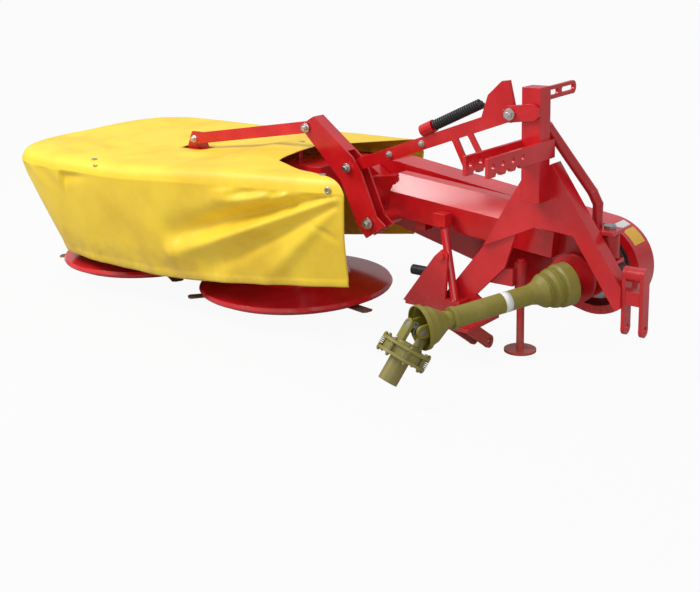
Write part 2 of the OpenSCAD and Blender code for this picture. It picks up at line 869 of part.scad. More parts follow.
mast();
mast_cheek();
gusset_plate();
left_leg();
right_leg();
left_hitch_clevis();
right_hitch_clevis();
top_link_bracket();
slotted_plate();
rear_brace();
kingpin_lugs();
kingpin();
stay_tube();
latch_bracket();
latch_grip();
stand_sleeve();
stand_leg();
carrier();
rear_yoke();
drive_pulley();
boom_beam();
belt_guard();
lift_lever();
upper_link();
link_spring();
deck_link();
gear_beam();
deck_gearbox();
link_bracket();
cover_frame();
cover_posts();
cover();
drum_inner();
drum_outer();
knives_inner();
knives_outer();
skid_inner();
skid_outer();
rear_cross();
shaft_tube_outer();
shaft_tube_inner();
front_cross();
shaft_clutch();
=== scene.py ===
"""Looks of a two-drum rear mower: paint, tarpaulin cover, fasteners, floor, light and camera."""

from __future__ import annotations

import json
import logging
import math
from dataclasses import dataclass, field
from enum import Enum
from typing import Any, Sequence

import bmesh
import bpy
from mathutils import Euler, Matrix, Vector

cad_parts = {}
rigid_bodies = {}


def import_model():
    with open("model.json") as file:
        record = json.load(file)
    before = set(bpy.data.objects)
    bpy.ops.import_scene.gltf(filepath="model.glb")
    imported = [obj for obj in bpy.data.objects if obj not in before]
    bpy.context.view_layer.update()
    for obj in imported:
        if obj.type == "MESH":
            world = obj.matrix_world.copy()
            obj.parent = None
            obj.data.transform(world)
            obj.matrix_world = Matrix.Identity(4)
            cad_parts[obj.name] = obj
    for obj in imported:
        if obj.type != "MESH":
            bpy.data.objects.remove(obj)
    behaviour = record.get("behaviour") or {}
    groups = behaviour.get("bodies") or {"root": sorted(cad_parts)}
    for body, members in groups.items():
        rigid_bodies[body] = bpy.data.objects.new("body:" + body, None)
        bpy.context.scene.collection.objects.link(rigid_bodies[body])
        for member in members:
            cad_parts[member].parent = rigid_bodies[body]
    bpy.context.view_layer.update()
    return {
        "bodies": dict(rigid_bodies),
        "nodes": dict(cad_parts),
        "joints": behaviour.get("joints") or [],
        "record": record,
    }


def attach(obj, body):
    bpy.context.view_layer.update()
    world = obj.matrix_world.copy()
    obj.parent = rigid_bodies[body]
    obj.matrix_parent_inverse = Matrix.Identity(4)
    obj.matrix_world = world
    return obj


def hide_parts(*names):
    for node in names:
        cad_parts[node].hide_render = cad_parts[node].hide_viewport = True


LOG = logging.getLogger("drum_mower")
SHIFT = Vector((0.927, 0.124338, 0.0))
Colour = tuple[float, float, float]
Pair = tuple[float, float]
Spot = tuple[float, float, float]


def at(x: float, y: float, z: float) -> Vector:
    """Point of the part's frame from millimetres measured at the stand foot."""
    return Vector((x, y, z)) / 1000 + SHIFT


def mix(a: float, b: float, t: float) -> float:
    """Value between a and b at t."""
    return a + (b - a) * t


def smooth(low: float, high: float, value: float) -> float:
    """Smooth step of a value from low to high."""
    t = min(1.0, max(0.0, (value - low) / (high - low)))
    return t * t * (3 - 2 * t)


def bell(value: float, middle: float, reach: float) -> float:
    """Bell curve of a value round a middle."""
    return math.exp(-(((value - middle) / reach) ** 2))


def table_at(rows: Sequence[Pair], value: float) -> float:
    """Reads a table of (argument, result) rows with straight lines between them.

    Args:
        rows: Rows in rising order of their argument.
        value: Argument to look up.

    Returns:
        The result at value, held at the table's ends.
    """
    if value <= rows[0][0]:
        return rows[0][1]
    for (a, p), (b, q) in zip(rows, rows[1:]):
        if value <= b:
            return mix(p, q, (value - a) / (b - a))
    return rows[-1][1]


class Value:
    """A number that a shader works out, with Python's operators adding its Math nodes."""

    def __init__(self, shader: "Shader", socket: bpy.types.NodeSocket) -> None:
        """Wraps one output socket of a shader's tree."""
        self.shader = shader
        self.socket = socket

    def _math(self, operation: str, first: Any, second: Any) -> "Value":
        """Adds a Math node over two values."""
        return self.shader.node("ShaderNodeMath", {"operation": operation}, {0: first, 1: second})

    def __add__(self, other: Any) -> "Value":
        """Sum."""
        return self._math("ADD", self, other)

    def __radd__(self, other: Any) -> "Value":
        """Sum with a number on the left."""
        return self._math("ADD", other, self)

    def __sub__(self, other: Any) -> "Value":
        """Difference."""
        return self._math("SUBTRACT", self, other)

    def __rsub__(self, other: Any) -> "Value":
        """Difference with a number on the left."""
        return self._math("SUBTRACT", other, self)

    def __mul__(self, other: Any) -> "Value":
        """Product."""
        return self._math("MULTIPLY", self, other)

    def __rmul__(self, other: Any) -> "Value":
        """Product with a number on the left."""
        return self._math("MULTIPLY", other, self)

    def clamp(self, low: float, high: float) -> "Value":
        """Smooth step of this value from low to high, as 0 to 1."""
        return self.shader.node(
            "ShaderNodeMapRange",
            {"interpolation_type": "SMOOTHSTEP"},
            {"Value": self, "From Min": low, "From Max": high},
        )


class Shader:
    """One material and its node tree."""

    def __init__(self, name: str) -> None:
        """Starts an empty material with a Principled surface."""
        self.material = bpy.data.materials.new(name)
        self.material.use_nodes = True
        self.tree = self.material.node_tree
        self.surface = self.tree.nodes["Principled BSDF"]
        self.place = self.node("ShaderNodeTexCoord", {}, {}, "Object")

    def node(
        self,
        kind: str,
        settings: dict[str, Any],
        sockets: dict[Any, Any],
        out: Any = 0,
    ) -> Value:
        """Adds a node.

        Args:
            kind: Blender's name of the node's type.
            settings: Properties set before anything is linked; "stops" fills a colour ramp.
            sockets: Inputs by name or number, each a number, a colour or a Value.
            out: Name or number of the output to return.

        Returns:
            The wrapped output.
        """
        made = self.tree.nodes.new(kind)
        for key, setting in settings.items():
            if key == "stops":
                self._stops(made.color_ramp, setting)
            else:
                setattr(made, key, setting)
        for key, given in sockets.items():
            self.feed(made.inputs[key], given)
        return Value(self, made.outputs[out])

    def feed(self, socket: bpy.types.NodeSocket, given: Any) -> None:
        """Links a Value to an input, or sets the input's own value."""
        if isinstance(given, Value):
            self.tree.links.new(given.socket, socket)
        elif isinstance(given, tuple) and len(given) == 3 and socket.type == "RGBA":
            socket.default_value = (*given, 1.0)
        else:
            socket.default_value = given

    @staticmethod
    def _stops(ramp: bpy.types.ColorRamp, stops: Sequence[tuple[float, Colour]]) -> None:
        """Fills a colour ramp with (place, colour) stops."""
        while len(ramp.elements) < len(stops):
            ramp.elements.new(1.0)
        for element, (place, colour) in zip(ramp.elements, stops):
            element.position = place
            element.color = (*colour, 1.0)

    def noise(self, scale: float, detail: float = 3.0, rough: float = 0.55) -> Value:
        """Noise over the piece's own coordinates."""
        return self.node(
            "ShaderNodeTexNoise",
            {},
            {"Vector": self.place, "Scale": scale, "Detail": detail, "Roughness": rough},
        )

    def height(self) -> Value:
        """Height above the ground in metres."""
        return self.node("ShaderNodeSeparateXYZ", {}, {0: self.place}, "Z")

    def blend(self, factor: Any, a: Any, b: Any) -> Value:
        """Mixes two colours."""
        return self.node("ShaderNodeMix", {"data_type": "RGBA"}, {0: factor, 6: a, 7: b}, 2)

    def bump(
        self,
        height: Value,
        strength: float,
        distance: float,
        normal: Value | None = None,
    ) -> Value:
        """Bump over an optional normal."""
        sockets: dict[Any, Any] = {"Height": height, "Strength": strength, "Distance": distance}
        if normal is not None:
            sockets["Normal"] = normal
        return self.node("ShaderNodeBump", {}, sockets)

    def round_edges(self, radius: float) -> Value:
        """Normal that softens hard edges."""
        return self.node("ShaderNodeBevel", {"samples": 6}, {"Radius": radius})

    def finish(self, **sockets: Any) -> bpy.types.Material:
        """Feeds the Principled surface by socket name, with underscores for spaces."""
        for key, given in sockets.items():
            self.feed(self.surface.inputs[key.replace("_", " ")], given)
        return self.material


@dataclass(frozen=True)
class Paint:
    """Gloss paint with dust towards the ground and a little mottling."""

    name: str
    colour: Colour
    dust: Colour = (0.30, 0.20, 0.13)
    dusty_below: float = 0.30
    dust_share: float = 0.45
    roughness: float = 0.22
    coat: float = 0.2

    def build(self) -> bpy.types.Material:
        """Makes the material."""
        shader = Shader(self.name)
        broad = shader.noise(5.0, 4.0)
        fine = shader.noise(70.0, 4.0, 0.65)
        low = 1 - shader.height().clamp(0.02, self.dusty_below)
        dirt = (low * (broad * 0.9 + fine * 0.5) * self.dust_share).clamp(0.1, 0.62)
        faded = tuple(min(1.0, c * 1.25 + 0.012) for c in self.colour)
        body = shader.blend(broad.clamp(0.35, 0.75), self.colour, faded)
        edge = shader.round_edges(0.0025)
        return shader.finish(
            Base_Color=shader.blend(dirt, body, self.dust),
            Roughness=self.roughness + dirt * 0.5 + fine * 0.06,
            Coat_Weight=self.coat - dirt * self.coat,
            Coat_Roughness=0.12,
            Normal=shader.bump(shader.noise(40.0, 2.0), 0.05, 0.002, edge),
        )


@dataclass(frozen=True)
class Steel:
    """Bare or plated steel, with an even share of brown."""

    name: str
    colour: Colour
    rust: Colour = (0.13, 0.055, 0.025)
    rust_share: float = 0.35
    roughness: float = 0.34

    def build(self) -> bpy.types.Material:
        """Makes the material."""
        shader = Shader(self.name)
        patches = shader.noise(22.0, 6.0, 0.65)
        spread = 0.4 * self.rust_share
        brown = patches.clamp(0.62 - spread, 0.9 - spread) * min(1.0, self.rust_share * 2)
        edge = shader.round_edges(0.0015)
        return shader.finish(
            Base_Color=shader.blend(brown, self.colour, self.rust),
            Metallic=1 - brown,
            Roughness=self.roughness + brown * 0.45,
            Normal=shader.bump(patches, 0.12, 0.002, edge),
        )


@dataclass(frozen=True)
class Plastic:
    """Moulded guard plastic, scuffed and a little dusty."""

    name: str
    colour: Colour
    scuff: Colour
    roughness: float = 0.46

    def build(self) -> bpy.types.Material:
        """Makes the material."""
        shader = Shader(self.name)
        patches = shader.noise(14.0, 5.0, 0.6)
        scuffs = shader.noise(120.0, 3.0, 0.7)
        worn = (patches * 0.7 + scuffs * 0.4).clamp(0.5, 0.8)
        return shader.finish(
            Base_Color=shader.blend(worn * 0.6, self.colour, self.scuff),
            Roughness=self.roughness + worn * 0.2,
            Normal=shader.bump(scuffs, 0.06, 0.001, shader.round_edges(0.002)),
        )


@dataclass(frozen=True)
class Tarpaulin:
    """Coated cloth: a satin yellow sheet with fine creases and dust along the hem."""

    name: str
    colour: Colour
    shade: Colour
    dust: Colour = (0.36, 0.24, 0.10)

    def build(self) -> bpy.types.Material:
        """Makes the material."""
        shader = Shader(self.name)
        broad = shader.noise(3.2, 5.0, 0.6)
        creases = shader.noise(17.0, 5.0, 0.62)
        weave = shader.noise(420.0, 1.0)
        low = 1 - shader.height().clamp(0.17, 0.42)
        dirt = (low * (broad * 0.8 + creases * 0.6)).clamp(0.45, 1.0) * 0.55
        body = shader.blend(broad.clamp(0.38, 0.72), self.colour, self.shade)
        rise = creases * 0.7 + weave * 0.05
        return shader.finish(
            Base_Color=shader.blend(dirt, body, self.dust),
            Roughness=0.40 + broad * 0.14 + dirt * 0.2,
            Normal=shader.bump(rise, 0.32, 0.006),
        )


@dataclass(frozen=True)
class Plain:
    """One even finish."""

    name: str
    colour: Colour
    roughness: float = 0.5
    metallic: float = 0.0

    def build(self) -> bpy.types.Material:
        """Makes the material."""
        shader = Shader(self.name)
        return shader.finish(Base_Color=self.colour, Roughness=self.roughness, Metallic=self.metallic)


class Finish(Enum):
    """The finishes on the machine."""

    RED = Paint("red_gloss_paint", (0.52, 0.004, 0.008))
    DARK_RED = Paint("shaded_red_paint", (0.40, 0.005, 0.008), dust_share=0.6, roughness=0.3)
    DISC_RED = Paint(
        "disc_red_paint",
        (0.50, 0.005, 0.008),
        dusty_below=0.12,
        dust_share=0.2,
        roughness=0.16,
        coat=0.3,
    )
    COVER = Tarpaulin("yellow_tarpaulin", (0.86, 0.60, 0.030), (0.74, 0.47, 0.018))
    OLIVE = Plastic("olive_guard_plastic", (0.21, 0.175, 0.018), (0.30, 0.26, 0.06))
    OLIVE_STEEL = Paint("olive_clutch_paint", (0.20, 0.17, 0.022), dust_share=0.5, roughness=0.4)
    STEEL = Steel("bare_steel", (0.42, 0.42, 0.42))
    KNIFE = Steel("knife_steel", (0.40, 0.29, 0.20), rust_share=0.7, roughness=0.45)
    DISH = Steel("worn_dish_steel", (0.24, 0.19, 0.16), rust_share=0.8, roughness=0.5)
    ZINC = Steel("zinc_fasteners", (0.62, 0.62, 0.60), rust_share=0.1, roughness=0.3)
    BLACK = Plain("black_coating", (0.012, 0.012, 0.013), 0.38)
    GRIP = Plain("black_grip", (0.010, 0.010, 0.011), 0.55)
    WHITE = Plain("blank_label", (0.72, 0.72, 0.70), 0.4)
    STICKER = Plain("blank_sticker", (0.78, 0.42, 0.03), 0.35)


class Painter:
    """Keeps one material for each finish."""

    def __init__(self) -> None:
        """Starts with no materials."""
        self.made: dict[Finish, bpy.types.Material] = {}

    def get(self, finish: Finish) -> bpy.types.Material:
        """Material of a finish, built the first time it is asked for."""
        if finish not in self.made:
            self.made[finish] = finish.value.build()
        return self.made[finish]

    def coat(self, piece: bpy.types.Object, finish: Finish) -> None:
        """Gives a piece one finish all over."""
        piece.data.materials.clear()
        piece.data.materials.append(self.get(finish))


@dataclass
class Maker:
    """Turns bmeshes into pieces that ride on the machine's bodies."""

    painter: Painter

    def piece(
        self,
        name: str,
        mesh: bmesh.types.BMesh,
        finish: Finish,
        body: str,
        soft: bool = True,
    ) -> bpy.types.Object:
        """Makes one piece.

        Args:
            name: Name of the piece.
            mesh: Its shape, in the part's frame. It is freed.
            finish: Its finish.
            body: The body it rides on.
            soft: Whether its faces are shaded smooth.

        Returns:
            The new object.
        """
        data = bpy.data.meshes.new(name)
        for face in mesh.faces:
            face.smooth = soft
        mesh.to_mesh(data)
        mesh.free()
        made = bpy.data.objects.new(name, data)
        bpy.context.scene.collection.objects.link(made)
        self.painter.coat(made, finish)
        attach(made, body)
        LOG.info("piece %s", name)
        return made


def turned(direction: Vector) -> Matrix:
    """Rotation that takes +Z to a direction."""
    return direction.to_track_quat("Z", "Y").to_matrix().to_4x4()


def add_prism(
    mesh: bmesh.types.BMesh,
    spot: Vector,
    direction: Vector,
    radius: float,
    length: float,
    sides: int,
) -> None:
    """Adds a prism or cylinder.

    Args:
        mesh: Mesh to add to.
        spot: Centre of its foot.
        direction: Way it stands up.
        radius: Its radius.
        length: Its height.
        sides: Number of its sides.
    """
    lift = Matrix.Translation((0, 0, length / 2))
    bmesh.ops.create_cone(
        mesh,
        cap_ends=True,
        segments=sides,
        radius1=radius,
        radius2=radius,
        depth=length,
        matrix=Matrix.Translation(spot) @ turned(direction) @ lift,
    )


def add_loop(
    mesh: bmesh.types.BMesh,
    corners: Sequence[Vector],
) -> tuple[list[bmesh.types.BMVert], list[bmesh.types.BMEdge]]:
    """Adds a closed loop of edges.

    Args:
        mesh: Mesh to add to.
        corners: Corners of the loop in order.

    Returns:
        The loop's vertices and its edges.
    """
    verts = [bmesh.ops.create_vert(mesh, co=corner)["vert"][0] for corner in corners]
    edges = [mesh.edges.new(ends) for ends in zip(verts, [*verts[1:], verts[0]])]
    return verts, edges


@dataclass(frozen=True)
class Bolt:
    """A hexagon head on its washer, with the end of its thread."""

    spot: Vector
    direction: Vector
    size: float = 0.010
    # foot, radius, height and sides of the washer, the head and the thread's end, in sizes
    parts: tuple[tuple[float, float, float, int], ...] = (
        (0.0, 1.25, 0.22, 24),
        (0.22, 1.0, 0.75, 6),
        (0.92, 0.55, 0.4, 16),
    )

    def add(self, mesh: bmesh.types.BMesh) -> None:
        """Adds the bolt to a mesh."""
        for foot, radius, high, sides in self.parts:
            spot = self.spot + self.direction * (self.size * foot)
            add_prism(mesh, spot, self.direction, self.size * radius, self.size * high, sides)


@dataclass(frozen=True)
class Ring:
    """A flat hoop: its middle, its axis, inner radius, width along the axis and thickness."""

    spot: Vector
    way: Vector
    radius: float
    width: float
    high: float
    steps: int = 48

    def add(self, mesh: bmesh.types.BMesh) -> None:
        """Adds the hoop to a mesh."""
        frame = Matrix.Translation(self.spot) @ turned(self.way)
        outer, side = self.radius + self.high, self.width / 2
        section = [(self.radius, -side), (outer, -side), (outer, side), (self.radius, side)]
        verts, edges = add_loop(mesh, [frame @ Vector((r, 0, z)) for r, z in section])
        bmesh.ops.spin(
            mesh,
            geom=[*verts, *edges],
            cent=self.spot,
            axis=self.way,
            angle=math.tau,
            steps=self.steps,
            use_merge=True,
        )


@dataclass(frozen=True)
class BoltGroup:
    """Bolts of one piece, by their size, the y of their face and their (x, z) places."""

    name: str
    body: str
    size: float
    face: float
    places: tuple[Pair, ...]
    facing: int = -1


@dataclass
class Fasteners:
    """Bolts and nuts on the frame and on the linkage, at places in millimetres."""

    maker: Maker
    groups: tuple[BoltGroup, ...] = (
        BoltGroup("lever_bolts", "lever", 0.014, -136, ((-643, 604), (-832, 736))),
        BoltGroup("lever_pivot_nut", "boom", 0.017, -138, ((-552, 410),)),
        BoltGroup("mast_pin_nut", "headstock", 0.015, -143, ((35, 848),)),
        BoltGroup("link_bolts", "top_rod", 0.010, -110, ((-470, 666.28), (-330, 716.68))),
        BoltGroup("deck_link_bolt", "deck_rod", 0.012, -110, ((-1459, 638),)),
        BoltGroup("bracket_nut", "deck", 0.011, -73, ((-1459, 638),), facing=1),
    )

    def build(self) -> None:
        """Puts every fastener in its place."""
        for group in self.groups:
            mesh = bmesh.new()
            for x, z in group.places:
                Bolt(at(x, group.face, z), Vector((0, group.facing, 0)), group.size).add(mesh)
            self.maker.piece(group.name, mesh, Finish.ZINC, group.body, soft=False)


@dataclass(frozen=True)
class Fold:
    """A fold in the front of the skirt, along a line between two (x, z) places in millimetres."""

    start: Pair
    end: Pair
    start_width: float
    end_width: float
    high: float
    start_share: float = 0.35
    full_at: float = 0.55
    fades_from: float = 0.75
    fades_by: float = 0.45

    def push(self, x: float, z: float) -> float:
        """Outward push of the fold at a place on the front, in millimetres."""
        way = Vector(self.end) - Vector(self.start)
        gone = Vector((x, z)) - Vector(self.start)
        t = min(1.0, max(0.0, gone.dot(way) / way.length_squared))
        off = (gone - way * t).length / mix(self.start_width, self.end_width, t)
        rise = mix(self.start_share, 1.0, smooth(0.0, self.full_at, t))
        fade = 1 - self.fades_by * smooth(self.fades_from, 1.0, t)
        return self.high * math.exp(-off * off) * rise * fade


@dataclass(frozen=True)
class Wave:
    """A wave of the sheet: its height, its turn along two coordinates, and its start."""

    high: float
    first: float
    second: float = 0.0
    start: float = 0.0

    def lift(self, a: float, b: float) -> float:
        """Lift of the wave at a place, in millimetres."""
        return self.high * math.sin(a * self.first + b * self.second + self.start)


@dataclass
class CoverSheet:
    """The tarpaulin over the drums, as one sheet from the crown to the hem."""

    maker: Maker
    along: int = 450
    across: int = 92
    deck_y: float = -30
    half: float = 464
    outer_x: float = -1855
    nose_inset: float = 150
    rim_power: float = 0.65
    hem_power: float = 0.9
    crown_power: float = 1.5
    corner_cut: float = 22
    top_rows: float = 0.45
    front_share: float = 0.36
    end_share: float = 0.28
    front_edge: tuple[Pair, ...] = ((0, -368), (0.05, -430), (0.40, -815), (0.62, -862), (1, -870))
    back_edge: tuple[Pair, ...] = ((0, -702), (0.5, -790), (1, -870))
    front_z: tuple[Pair, ...] = ((-1500, 588), (-1150, 611), (-365, 657))
    spine_z: tuple[Pair, ...] = ((-1420, 601.5), (-1040, 651))
    back_z: tuple[Pair, ...] = ((-1855, 629), (-700, 620))
    side_inset: tuple[Pair, ...] = ((-1700, 85), (-1420, 74), (-1200, 60), (-1000, 50), (-700, 43))
    hem_z: tuple[Pair, ...] = (
        (-1900, 152),
        (-1720, 146),
        (-1450, 148),
        (-1300, 158),
        (-1118, 176),
        (-790, 221),
        (-365, 284),
    )
    # depth and reach of the bend over the rim, at the outer end and at the open end
    round_bend: tuple[Pair, ...] = ((27, 9), (24, 32))
    tight_bend: tuple[Pair, ...] = ((52, 11),)
    bend_change: Pair = (-1500, -800)
    posts: tuple[Pair, ...] = ((-960, -30), (-1700, -30))
    flat_round_post: Pair = (40, 200)
    flat_at_rim: Pair = (20, 130)
    top_waves: tuple[Wave, ...] = (Wave(4, 0.011, 0.006), Wave(3, 0.019, -0.013))
    front_creases: Wave = Wave(2.2, 0.006, 0.045)
    corner_dents: Wave = Wave(5, 0.021, 0.034)
    ripple_share: float = 0.7
    sag: float = 3
    # over the share along the rim and the share of the drop to the hem
    skirt_waves: tuple[Wave, ...] = (Wave(3.0, 61), Wave(2.0, 127, start=2), Wave(1.5, 47, 6))
    pleats: Wave = Wave(5, 210, 9)
    bulge: float = 9
    seam: float = 3.0
    seam_step: Pair = (0.915, 0.945)
    folds: tuple[Fold, ...] = (
        Fold((-400, 606), (-1195, 350), 18, 56, -56),
        Fold((-402, 590), (-1240, 276), 14, 44, 40),
        Fold((-415, 560), (-1050, 252), 14, 40, -22),
        Fold((-418, 540), (-760, 250), 14, 40, 13),
        Fold((-560, 574), (-960, 520), 22, 36, 22),
        Fold((-700, 588), (-880, 548), 12, 20, -22),
        Fold((-596, 612), (-640, 556), 12, 16, 13),
        Fold((-640, 604), (-700, 560), 12, 16, -12),
        Fold((-830, 560), (-960, 590), 14, 24, 12),
        Fold((-520, 490), (-420, 446), 8, 12, -7),
        Fold((-1640, 560), (-1900, 500), 22, 40, -12),
    )
    thickness: float = 0.002
    merge: float = 0.0004
    hole: tuple[Spot, Spot] = ((-1530, -114, 560), (-1388, -62, 700))
    top_eyelets: tuple[Pair, ...] = ((-500, -440), (-1690, -440), (-1640, -475), (-974, 1), (-966, 57))
    corner_eyelet: Spot = (-434, -495, 612)
    eyelet_radius: float = 0.006
    turns: list[Pair] = field(init=False)

    def __post_init__(self) -> None:
        """Measures the outer end, so that its columns are spread evenly."""
        angles = [270 - 180 * i / 360 for i in range(361)]
        spots = [Vector(self.end_point(a, self.half, self.half, self.rim_power)) for a in angles]
        gone = [0.0]
        for a, b in zip(spots, spots[1:]):
            gone.append(gone[-1] + (b - a).length)
        self.turns = [(length / gone[-1], angle) for length, angle in zip(gone, angles)]

    def end_point(self, angle: float, half: float, nose: float, power: float) -> Pair:
        """Point of the squarish outer end at an angle in degrees, in plan."""
        c, s = math.cos(math.radians(angle)), math.sin(math.radians(angle))
        return (
            self.outer_x - nose * abs(c) ** power,
            self.deck_y + math.copysign(half * abs(s) ** power, s),
        )

    def run(self, u: float) -> tuple[float, float, int]:
        """Walks the rim from the front right corner round the outer end to the back.

        Args:
            u: Share of the walk, from 0 to 1.

        Returns:
            Share along the straight side from the open end, angle on the outer end in degrees,
            and side: -1 in front, 1 behind, 0 on the outer end.
        """
        if u <= self.front_share:
            return u / self.front_share, 270.0, -1
        if u <= self.front_share + self.end_share:
            return 1.0, table_at(self.turns, (u - self.front_share) / self.end_share), 0
        return (1 - u) / (1 - self.front_share - self.end_share), 90.0, 1

    def rim(self, share: float, angle: float, side: int, inward: float) -> Vector:
        """Place of the rim in plan; the open end lies further in towards the spine."""
        if side == 0:
            return Vector(self.end_point(angle, self.half, self.half, self.rim_power))
        edge = self.front_edge if side < 0 else self.back_edge
        x = mix(table_at(edge, inward), self.outer_x, share)
        return Vector((x, self.deck_y + side * self.half))

    def hem(self, share: float, angle: float, side: int) -> Vector:
        """Place of the hem in plan."""
        if side == 0:
            half, nose = self.half - self.side_inset[0][1], self.half - self.nose_inset
            return Vector(self.end_point(angle, half, nose, self.hem_power))
        x = self.rim(share, angle, side, 0).x - self.corner_cut * (1 - share)
        return Vector((x, self.deck_y + side * (self.half - table_at(self.side_inset, x))))

    @staticmethod
    def bend(rows: Sequence[Pair], inset: float) -> float:
        """Drop of the top at an inset from the rim, from rows of depth and reach."""
        return sum(deep * math.exp(-inset / reach) for deep, reach in rows)

    def top(self, x: float, y: float, inset: float) -> float:
        """Height of the top at a place, with an inset from the rim."""
        side = (y - self.deck_y) / self.half
        edge = table_at(self.front_z if side < 0 else self.back_z, x)
        outer, inner = self.bend(self.round_bend, inset), self.bend(self.tight_bend, inset)
        drop = mix(outer, inner, smooth(*self.bend_change, x))
        return mix(table_at(self.spine_z, x), edge, abs(side) ** self.crown_power) - drop

    def point(self, u: float, v: float) -> Vector:
        """Point of the sheet.

        Args:
            u: Share along the rim.
            v: 0 on the spine of the top, 1 on the hem.

        Returns:
            The point in millimetres from the stand foot.
        """
        share, angle, side = self.run(u)
        if v <= self.top_rows:
            inward = (1 - v / self.top_rows) ** 2
            edge = self.rim(share, angle, side, inward)
            spine = Vector((self.outer_x if side == 0 else edge.x, self.deck_y))
            spot = edge.lerp(spine, inward)
            inset = (edge - spine).length * inward
            ripple = self.ripple(spot.x, spot.y) * smooth(*self.flat_at_rim, inset)
            gaps = [(spot - Vector(post)).length for post in self.posts]
            ripple *= min(smooth(*self.flat_round_post, gap) for gap in gaps)
            return Vector((*spot, self.top(spot.x, spot.y, inset) + ripple))
        drop = (v - self.top_rows) / (1 - self.top_rows)
        edge, hem = self.rim(share, angle, side, 0), self.hem(share, angle, side)
        spot = edge.lerp(hem, drop)
        z = mix(self.top(edge.x, edge.y, 0), table_at(self.hem_z, hem.x), drop)
        outward = (edge - hem).normalized() if side == 0 else Vector((0, side))
        spot += outward * self.billow(u, spot.x, z, drop, side)
        return Vector((*spot, z))

    def billow(self, u: float, x: float, z: float, drop: float, side: int) -> float:
        """Outward push of the skirt.

        Args:
            u: Share along the rim.
            x: Place along the machine, in millimetres.
            z: Height, in millimetres.
            drop: Share of the way from the rim to the hem.
            side: -1 in front, 1 behind, 0 on the outer end.

        Returns:
            The push in millimetres.
        """
        waves = sum(wave.lift(u, drop) for wave in self.skirt_waves) * smooth(0.1, 0.6, drop)
        push = waves + self.bulge * math.sin(drop * math.pi) + self.seam * smooth(*self.seam_step, drop)
        if side == -1:
            return push + sum(fold.push(x, z) for fold in self.folds) * smooth(0.0, 0.06, drop)
        return push + self.pleats.lift(u, drop) * bell(drop, 0.12, 0.12)

    def ripple(self, x: float, y: float) -> float:
        """Lift of the top between its supports, in millimetres."""
        waves = sum(wave.lift(x, y) for wave in self.top_waves)
        creases = self.front_creases.lift(x, y) * bell(y, -250, 160)
        dents = self.corner_dents.lift(x, y) * bell(x, -1900, 280) * bell(y, -340, 150)
        return (waves + creases + dents) * self.ripple_share - self.sag

    def build(self) -> bpy.types.Object:
        """Makes the sheet in place of the plain cover."""
        mesh = bmesh.new()
        bmesh.ops.create_grid(mesh, x_segments=self.along, y_segments=self.across, size=0.5)
        for vertex in mesh.verts:
            vertex.co = at(*self.point(vertex.co.x + 0.5, vertex.co.y + 0.5))
        bmesh.ops.remove_doubles(mesh, verts=mesh.verts, dist=self.merge)
        self.cut_hole(mesh)
        bmesh.ops.recalc_face_normals(mesh, faces=mesh.faces)
        flat_area = sum(face.calc_area() for face in mesh.faces)
        sheet = self.maker.piece("cover_sheet", mesh, Finish.COVER, "deck")
        if sheet.data.polygons[0].normal.z < 0:
            sheet.data.flip_normals()
        skin = sheet.modifiers.new("skin", "SOLIDIFY")
        skin.thickness = self.thickness
        skin.offset = -1
        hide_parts("cover")
        self.eyelets()
        LOG.info("cover area %.3f m2", flat_area)
        return sheet

    def eyelets(self) -> bpy.types.Object:
        """Makes the eyelets that lace the sheet to its hoop."""
        mesh = bmesh.new()
        up, front = Vector((0, 0, 1)), Vector((0, -1, 0))
        for x, y in self.top_eyelets:
            z = self.top(x, y, self.half - abs(y - self.deck_y)) + 0.5
            Ring(at(x, y, z), up, self.eyelet_radius, 0.002, self.eyelet_radius).add(mesh)
        spot = at(*self.corner_eyelet)
        Ring(spot, front, self.eyelet_radius, 0.004, self.eyelet_radius).add(mesh)
        bmesh.ops.recalc_face_normals(mesh, faces=mesh.faces)
        return self.maker.piece("cover_eyelets", mesh, Finish.STEEL, "deck")

    def cut_hole(self, mesh: bmesh.types.BMesh) -> None:
        """Opens the sheet round the deck link's bracket."""
        low, high = (at(*corner) for corner in self.hole)
        inside = [
            face
            for face in mesh.faces
            if all(low[i] < face.calc_center_median()[i] < high[i] for i in range(3))
        ]
        bmesh.ops.delete(mesh, geom=inside, context="FACES")


